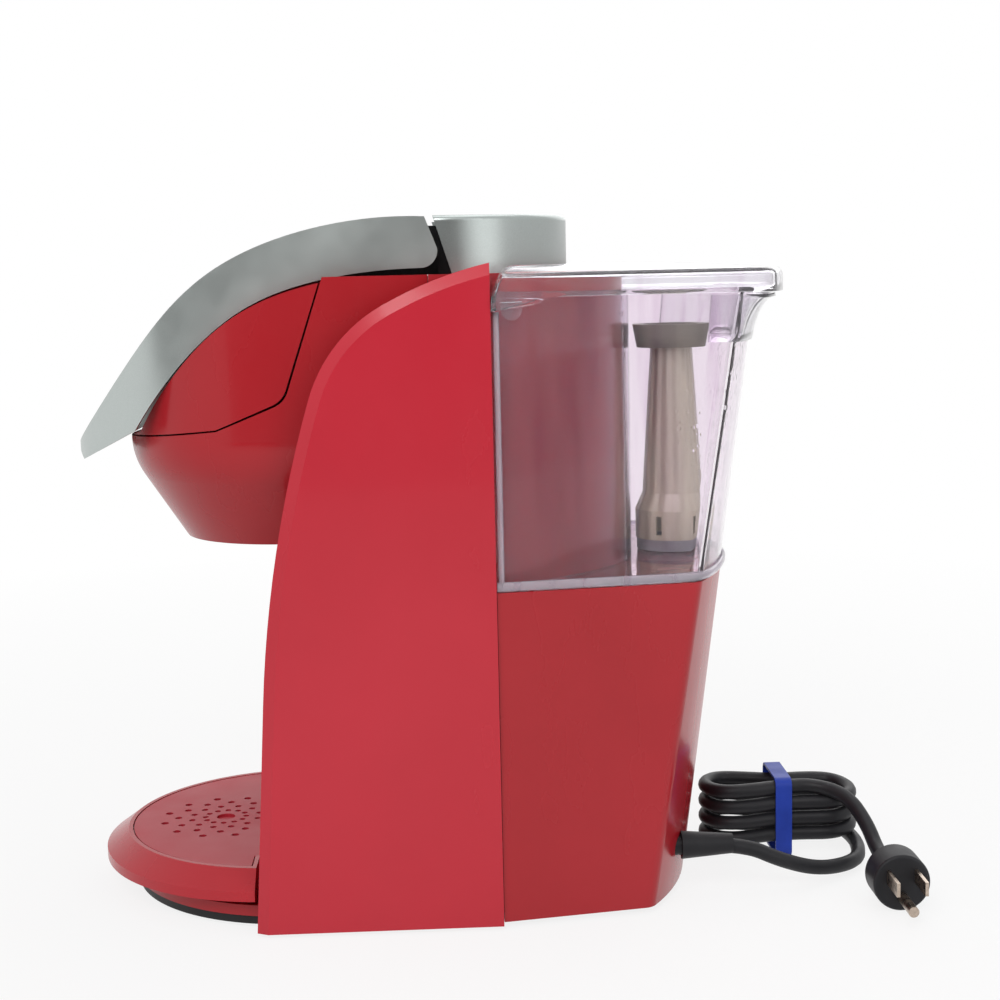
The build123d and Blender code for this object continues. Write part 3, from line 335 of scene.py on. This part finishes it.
def rear_path(z, grow, rear_grow):
    """Half of the reservoir's outline at a height, from its front to the middle of its rear."""
    share = (z - OUTLINE_LOW_Z) / OUTLINE_HEIGHT
    corner_x = CORNER_X + CORNER_X_GAIN * share + grow
    corner_y = CORNER_Y + CORNER_Y_GAIN * share + grow + rear_grow
    rear = REAR_Y + REAR_Y_GAIN * share + grow + rear_grow
    bulge = rear - corner_y
    radius = (corner_x ** 2 + bulge ** 2) / (2 * bulge)
    side = WALL_SIDE + grow
    lean = (corner_x - side) / (corner_y - SEAM_Y)
    last_y = corner_y - CORNER_CUT
    points = [(side + lean * (y - SEAM_Y), y) for y in SIDE_YS if y < last_y - SIDE_END_GAP]
    while len(points) < len(SIDE_YS):
        y = points[-1][1] + (last_y - points[-1][1]) / 2
        points.append((side + lean * (y - SEAM_Y), y))
    arc_x = corner_x - CORNER_CUT
    corner = (
        (side + lean * (last_y - SEAM_Y), last_y),
        (corner_x, corner_y),
        (arc_x, rear - radius + math.sqrt(radius ** 2 - arc_x ** 2)))
    for n in range(CORNER_STEPS):
        t = n / CORNER_STEPS
        weights = ((1 - t) ** 2, 2 * t * (1 - t), t * t)
        points.append(tuple(sum(w * c[k] for w, c in zip(weights, corner)) for k in (0, 1)))
    for n in range(BULGE_STEPS + 1):
        x = arc_x * (1 - n / BULGE_STEPS)
        points.append((x, rear - radius + math.sqrt(radius ** 2 - x * x)))
    return points


def both_halves(half):
    """A half outline and its mirror image, as one open line round the rear."""
    return half + [(-x, y) for x, y in reversed(half[:-1])]


def grid_piece(name, rows, wall, offset, body):
    """A sheet from rows of points, thickened to a moulded wall, that rides on a body."""
    data = bpy.data.meshes.new(name)
    count = len(rows[0])
    faces = [(i * count + k, (i + 1) * count + k, (i + 1) * count + k + 1, i * count + k + 1)
             for i in range(len(rows) - 1) for k in range(count - 1)]
    data.from_pydata([tuple(v * MM for v in p) for row in rows for p in row], [], faces)
    data.shade_smooth()
    piece = bpy.data.objects.new(name, data)
    scene.collection.objects.link(piece)
    solid = piece.modifiers.new("wall", "SOLIDIFY")
    solid.thickness = wall * MM
    solid.offset = offset
    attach(piece, body)
    return piece


def nose_z(y):
    """Height of the drooping nose at the lid's two front corners."""
    if y >= NOSE_Y:
        return NO_LIMIT_Z
    return NOSE_LOW_Z + NOSE_RISE * math.sqrt(max(0.0, 1 - ((NOSE_Y - y) / NOSE_RUN) ** 2))


def rim_low_z(y):
    """Lower edge of the lid's rim, with the step behind each nose."""
    if y < RIM_STEP_Y:
        return NOSE_LOW_Z + (y - SEAM_Y) * RIM_SLOPE
    return min(LID_RIM_Z, NOSE_LOW_Z + RIM_STEP_RISE + (y - RIM_STEP_Y) * RIM_STEP_SLOPE)


def lid_row(outer, inward, hole):
    """Points of the lid from the rim's lower edge, over its round shoulder, to the column."""
    x, y = outer
    row = [(x, y, rim_low_z(y)), (x, y, (rim_low_z(y) + LID_EDGE_Z - LID_ROUND) / 2)]
    for step in range(ROUND_STEPS + 1):
        turn = math.radians(90 * step / ROUND_STEPS)
        a = LID_ROUND * (1 - math.cos(turn))
        z = LID_EDGE_Z - LID_ROUND * (1 - math.sin(turn))
        row.append((x + inward[0] * a, y + inward[1] * a, z))
    start = row[-1]
    for step in range(1, CROWN_STEPS + 1):
        t = step / CROWN_STEPS
        z = LID_EDGE_Z + LID_CROWN * math.sin(t * math.pi / 2)
        row.append((start[0] + (hole[0] - start[0]) * t, start[1] + (hole[1] - start[1]) * t, z))
    row.append((hole[0], hole[1], row[-1][2] - LID_INNER_LIP))
    return [(px, py, min(pz, nose_z(py))) for px, py, pz in row]


def add_lid():
    """Clear crowned lid with a stepped rim and two drooping front corners."""
    line = both_halves(rear_path(LID_EDGE_Z, LID_GROW, LID_REAR_GROW))
    first = math.atan2(line[0][1] - HOLE_Y, line[0][0])
    hole_first = math.asin((SEAM_Y - HOLE_Y) / HOLE_RADIUS)
    rows = []
    for n, (x, y) in enumerate(line):
        before, after = line[max(0, n - 1)], line[min(len(line) - 1, n + 1)]
        run = Vector((after[0] - before[0], after[1] - before[1])).normalized()
        turn = math.atan2(y - HOLE_Y, x)
        share = (turn - first) / (math.pi - 2 * first)
        turn = hole_first + share * (math.pi - 2 * hole_first)
        hole = (HOLE_RADIUS * math.cos(turn), HOLE_Y + HOLE_RADIUS * math.sin(turn))
        rows.append(lid_row((x, y), (-run.y, run.x), hole))
    lid = grid_piece("clear_lid", rows, LID_WALL, -1, "tank_cover")
    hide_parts("tank_lid")


def add_flare():
    """Curved gusset that carries the tank's rear wall out to the lid's edge."""
    first = len(SIDE_YS) - 1
    columns = []
    for step in range(FLARE_STEPS + 1):
        turn = math.radians(90 * step / FLARE_STEPS)
        z = FLARE_LOW_Z + FLARE_RISE * math.sin(turn)
        wall = rear_path(z, FLARE_INSET, 0)[first:]
        out = rear_path(z, FLARE_INSET, FLARE_REACH * (1 - math.cos(turn)))[first:]
        half = []
        for n, (a, b) in enumerate(zip(wall, out)):
            ramp = min(1.0, n / CORNER_STEPS)
            sink = FLARE_END_SINK * max(0.0, 1 - n / FLARE_END_STEPS)
            half.append((a[0] + (b[0] - a[0]) * ramp - sink, a[1] + (b[1] - a[1]) * ramp))
        columns.append([(x, y, z) for x, y in both_halves(half)])
    rows = [list(row) for row in zip(*columns)]
    grid_piece("rear_flare", rows, FLARE_WALL, 1, "tank")


def add_tank_edges():
    """Thick moulded foot of the tank, and the rounded edge down each of its front corners."""
    outlines = [both_halves(rear_path(z, grow, grow)) for z, grow in FOOT_RIM]
    rows = [[(x, y, z) for (x, y), (z, grow) in zip(places, FOOT_RIM)] for places in zip(*outlines)]
    grid_piece("tank_foot_rim", rows, FOOT_WALL, -1, "tank")
    across = [(EDGE_Y + EDGE_Y_STEP * k, EDGE_OUT + EDGE_SWELL * math.sin(math.pi * k / EDGE_ACROSS))
              for k in range(EDGE_ACROSS + 1)]
    heights = [EDGE_LOW_Z + EDGE_HEIGHT * step / EDGE_STEPS for step in range(EDGE_STEPS + 1)]
    for name, side, bulge in (("tank_edge_right", 1, across[::-1]), ("tank_edge_left", -1, across)):
        rows = [[(side * (EDGE_X + out), y, z) for y, out in bulge] for z in heights]
        grid_piece(name, rows, EDGE_WALL, -1, "tank")


def plate_piece(name, outline, low_x, high_x, body):
    """A flat plate across X with softened edges, from an outline in Y and Z."""
    count = len(outline)
    points = [(x * MM, y * MM, z * MM) for x in (low_x, high_x) for y, z in outline]
    faces = [tuple(reversed(range(count))), tuple(range(count, 2 * count))]
    faces += [(n, (n + 1) % count, count + (n + 1) % count, count + n) for n in range(count)]
    data = bpy.data.meshes.new(name)
    data.from_pydata(points, [], faces)
    piece = bpy.data.objects.new(name, data)
    scene.collection.objects.link(piece)
    soft = piece.modifiers.new("edges", "BEVEL")
    soft.width = SOFT_EDGE_SHARE * min(high_x - low_x, SOFT_EDGE_LIMIT) * MM
    soft.segments = 2
    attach(piece, body)


def add_small_pieces():
    """Round tabs under the lid's front corners, and a black strip behind the head's rear edge as painted
    shade in the gap there.
    """
    turns = [math.radians(angle) for angle in range(180, 361, 15)]
    tab = [(TAB_Y + TAB_RADIUS * math.cos(a), TAB_Z + TAB_RADIUS * math.sin(a)) for a in turns]
    tab += [(TAB_Y + TAB_RADIUS, TAB_TOP_Z), (TAB_Y - TAB_RADIUS, TAB_TOP_Z)]
    plate_piece("lid_tab_right", tab, TAB_INNER_X, TAB_OUTER_X, "tank_cover")
    plate_piece("lid_tab_left", tab, -TAB_OUTER_X, -TAB_INNER_X, "tank_cover")
    # A thin black sheet that fills the slit behind the head: painted shade where the gap would show white.
    strip = [(STRIP_FRONT_Y, STRIP_LOW_Z), (STRIP_REAR_Y, STRIP_LOW_Z),
             (STRIP_REAR_Y, STRIP_TOP_Z), (STRIP_FRONT_Y, STRIP_TOP_Z)]
    plate_piece("head_gap_shade_strip", strip, -STRIP_HALF, STRIP_HALF, "housing")


def paint_all():
    """Every node and piece gets its material."""
    red("red_panel", (0.54, 0.022, 0.040), (0.49, 0.018, 0.033), 0.20, 0.12, 0.25).put(
        "side_panel_right", "side_panel_left")
    # The base, and the head with its jaw, get a darker red than the panels: painted shade, for the base that
    # turns away from the light and the head under the handle.
    red("red_base", (0.44, 0.016, 0.025), (0.37, 0.012, 0.018), 0.22, 0.12, 0.25).put(
        "reservoir_base")
    red("red_head", (0.42, 0.013, 0.020), (0.37, 0.010, 0.016), 0.24, 0.12, 0.25).put(
        "head_housing", "lid_jaw")
    red("red_column", (0.44, 0.015, 0.024), (0.38, 0.012, 0.018), 0.28, 0.15, 0.3).put(
        "column_shell", "tray_cradle")
    red("red_tray", (0.50, 0.018, 0.030), (0.44, 0.014, 0.024), 0.22, 0.12, 0.25).put("drip_tray")
    red("red_plate", (0.52, 0.032, 0.052), (0.45, 0.024, 0.040), 0.36, 0.0, 0.6).put("drip_plate")
    silver("silver_handle", (0.46, 0.50, 0.485), (0.54, 0.58, 0.565)).put("handle_frame")
    # The ring's silver is darker than the handle's: a painted dark reflection on its curved band.
    silver("silver_ring", (0.32, 0.35, 0.34), (0.40, 0.435, 0.425)).put("control_ring")
    clear("clear_tank", (0.93, 0.875, 0.925), True, 0.982).put("water_tank")
    # The foot rim and the front edges are paler and less clear than the tank: partly the tint of thick
    # plastic, partly painted highlight along these edges.
    clear("edge_tint_and_highlight", (0.80, 0.75, 0.82), False, 0.72).put(
        "tank_foot_rim", "tank_edge_right", "tank_edge_left")
    clear("clear_lid", (0.89, 0.875, 0.91), False).put(
        "clear_lid", "rear_flare", "lid_tab_right", "lid_tab_left")
    plain("olive_grip", (0.235, 0.225, 0.175), 0.45, 700, 0.5).put("filter_grip")
    ribbed("cream_filter", (0.82, 0.78, 0.60), 0.116, 14, 0.3).put("filter_stem", "filter_basket")
    plain("grey_seal", (0.33, 0.34, 0.36), 0.5, 600, 0.4).put("filter_ring", "tank_valve", "pod_seal")
    # The strip behind the head among these is painted shade; the rest are black parts.
    plain("black_matt", (0.020, 0.020, 0.021), 0.45, 1500, 0.8).put(
        "pod_holder", "coffee_spout", "needle_carrier", "valve_socket", "base_plate", "heater_stand",
        "head_gap_shade_strip", "thermostat", "water_pump", "air_pump", "solenoid_valve")
    plain("black_gloss", (0.012, 0.012, 0.013), 0.12, 2400, 0.15, coat=0.5).put("control_panel")
    plain("button_grey", (0.30, 0.31, 0.32), 0.36, 1200, 0.4, metal=0.2).put(
        "brew_button", "cup_button_small", "cup_button_medium", "cup_button_large",
        "power_button")
    plain("foot_rubber", (0.016, 0.016, 0.016), 0.62, 800, 0.9).put("rubber_feet")
    plain("board_green", (0.02, 0.16, 0.06), 0.35, 400, 0.5).put("switch_board", "control_board")
    plain("tie_blue", (0.018, 0.055, 0.42), 0.38, 900, 0.7).put("cord_tie")
    brushed("steel", (0.62, 0.62, 0.61), 0.28, (1, 1, 0.05)).put(
        "panel_screws", "exit_needle", "hinge_pins", "inlet_needle", "heater_tank")
    brushed("blade_metal", (0.56, 0.46, 0.38), 0.24, (0.06, 1, 1)).put("plug_prongs")
    plain("cord_jacket", (0.017, 0.017, 0.020), 0.42, 900, 0.5).put(
        "mains_cord", "cord_relief", "plug_body")
    window().put("display_window")


SHARP_ANGLE = math.radians(32)


def smooth_nodes():
    """Smooth shading with sharp edges kept on every CAD node."""
    for node in nodes.values():
        node.data.shade_smooth()
        node.data.set_sharp_from_angle(angle=SHARP_ANGLE)


def add_lamp(name, place, aim, size, power):
    """A soft square lamp, placed and sized in metres, with its power in watts."""
    data = bpy.data.lights.new(name, "AREA")
    data.size = size
    data.energy = power
    lamp = bpy.data.objects.new(name, data)
    lamp.location = place
    lamp.rotation_euler = (Vector(aim) - Vector(place)).to_track_quat("-Z", "Y").to_euler()
    scene.collection.objects.link(lamp)


# Surroundings: lengths in metres, greys as linear colours, and shares of white from 0 to 1
FLOOR_SIZE, FLOOR_GREYS = 12, ((0.80, 0.80, 0.80), (0.84, 0.84, 0.84))
FLOOR_NEAR, FLOOR_FAR, FLOOR_NEAR_SHARE = 0.25, 1.0, 0.84
WORLD_LIGHT, WORLD_SEEN = 0.42, 1.0
CARD_AT, CARD_SIZE, CARD_GREY = (1.7, -0.30, 0.62), (1.3, 2.3, 1), (0.13, 0.13, 0.13)


def seen_rays(tree):
    """A socket that is 1 where the surroundings are seen, and 0 where they light the object."""
    rays = tree.nodes.new("ShaderNodeLightPath").outputs
    level = rays["Is Camera Ray"]
    for name in ("Is Glossy Ray", "Is Transmission Ray"):
        step = tree.nodes.new("ShaderNodeMath")
        step.operation = "MAXIMUM"
        tree.links.new(level, step.inputs[0])
        tree.links.new(rays[name], step.inputs[1])
        level = step.outputs[0]
    return level


def add_floor():
    """Pale floor that keeps the shadow and runs into white further out."""
    bpy.ops.mesh.primitive_plane_add(size=FLOOR_SIZE)
    floor = bpy.context.object
    floor.name = "floor"
    paint = Surface("floor_paint", 0.9)
    paint.colours(*FLOOR_GREYS, paint.noise(3, 2))
    out = paint.feed(paint.node("ShaderNodeVectorMath", operation="LENGTH"), Vector=paint.place)
    share = paint.spread(out.outputs["Value"], FLOOR_NEAR, FLOOR_FAR, FLOOR_NEAR_SHARE, 1.0)
    white = paint.node("ShaderNodeEmission")
    mix = paint.node("ShaderNodeMixShader")
    links = paint.tree.links
    links.new(paint.math("MULTIPLY", seen_rays(paint.tree), share), mix.inputs[0])
    links.new(paint.shader.outputs[0], mix.inputs[1])
    links.new(white.outputs[0], mix.inputs[2])
    links.new(mix.outputs[0], paint.tree.nodes["Material Output"].inputs["Surface"])
    paint.put("floor")


def add_world():
    """White where it is seen, and a plain level of light on the object."""
    world = bpy.data.worlds.new("world")
    world.use_nodes = True
    scene.world = world
    tree = world.node_tree
    background = tree.nodes["Background"]
    strength = tree.nodes.new("ShaderNodeMapRange")
    strength.inputs["To Min"].default_value = WORLD_LIGHT
    strength.inputs["To Max"].default_value = WORLD_SEEN
    tree.links.new(seen_rays(tree), strength.inputs["Value"])
    tree.links.new(strength.outputs[0], background.inputs["Strength"])
    background.inputs["Color"].default_value = (1, 1, 1, 1)


def add_lamps():
    """Soft light from the camera's side, from above and from behind."""
    add_lamp("key_lamp", (1.1, -0.35, 1.0), (0, 0, 0.15), 0.6, 8)
    add_lamp("fill_lamp", (1.2, 0.8, 0.6), (0, 0.05, 0.15), 0.9, 3.5)
    add_lamp("top_lamp", (-0.2, 0.2, 1.4), (0, 0, 0.2), 0.8, 3.5)
    add_lamp("back_lamp", (-1.0, 0.5, 0.8), (0, 0, 0.2), 0.9, 3)


def add_grey_card():
    """Grey card behind the camera that only shiny faces see, so satin metal gets its dark band."""
    bpy.ops.mesh.primitive_plane_add(size=1, location=CARD_AT, rotation=(0, math.radians(90), 0))
    card = bpy.context.object
    card.name = "grey_card"
    card.scale = CARD_SIZE
    card.visible_camera = False
    card.visible_diffuse = False
    card.visible_transmission = False
    card.visible_shadow = False
    plain("card_grey", CARD_GREY, 0.9, 200, 0.1).put("grey_card")


add_camera()
add_cord()
add_lid()
add_flare()
add_tank_edges()
add_small_pieces()
smooth_nodes()
paint_all()
add_floor()
add_world()
add_lamps()
add_grey_card()
scene.view_settings.view_transform = "Standard"
